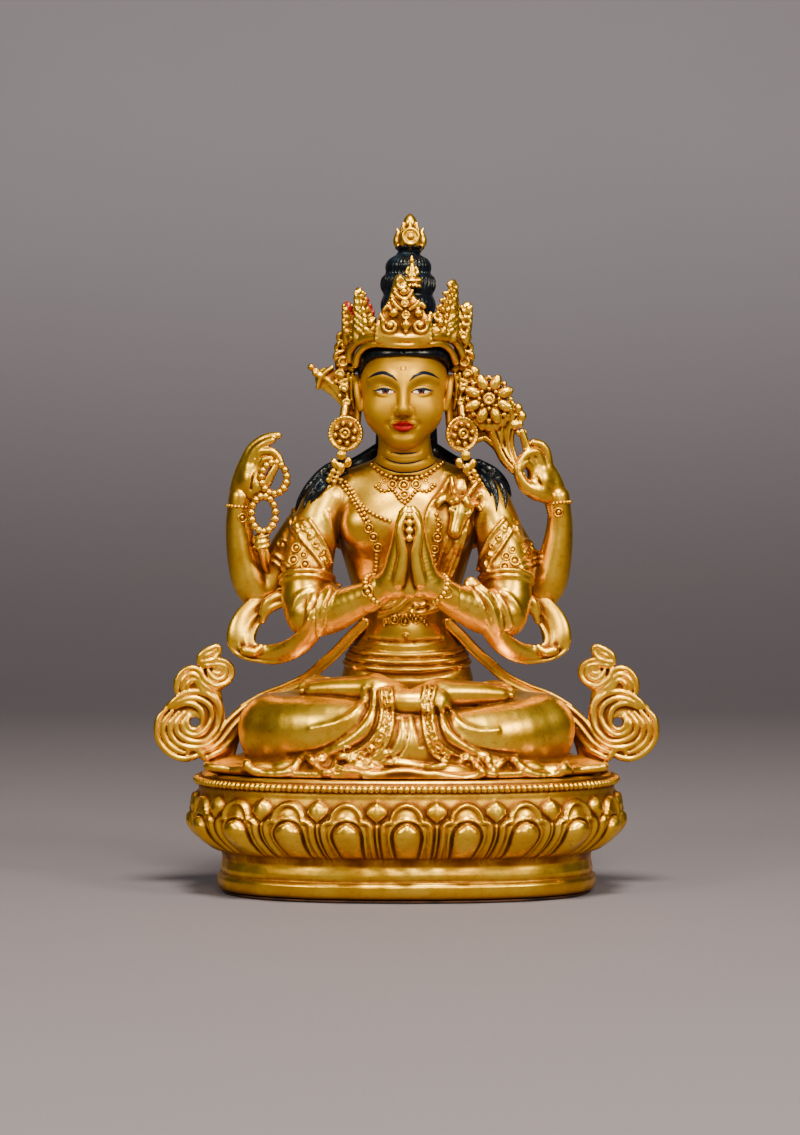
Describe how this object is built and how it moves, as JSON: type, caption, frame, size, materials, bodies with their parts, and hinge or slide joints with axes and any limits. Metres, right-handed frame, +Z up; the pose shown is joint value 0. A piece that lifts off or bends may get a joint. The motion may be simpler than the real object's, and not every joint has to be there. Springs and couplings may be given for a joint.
{
  "type": "avalokiteshvara statue",
  "caption": "Small gilt copper statue of the seated four-armed Avalokiteshvara, hands joined, with rosary and lotus, scarf and crown, on an oval lotus pedestal.",
  "frame": {"origin": "centre of the copper plate's underside, on which the statue stands", "axes": "+Z up, along the height; +Y towards the figure's back; +X to the viewer's right, which is the figure's left"},
  "size_m": [0.1548, 0.0918, 0.2093],
  "materials": {
    "gilding": "fire-gilt copper, satin, with orange-brown patina in the recesses",
    "base_gilding": "fire-gilt copper, satin, with orange-brown patina between the petals",
    "bare_copper": "darkened copper sheet, dull"
  },
  "bodies": {
    "root": {"figure": "gilding", "lotus_base": "base_gilding", "base_plate": "bare_copper"}
  },
  "joints": []
}
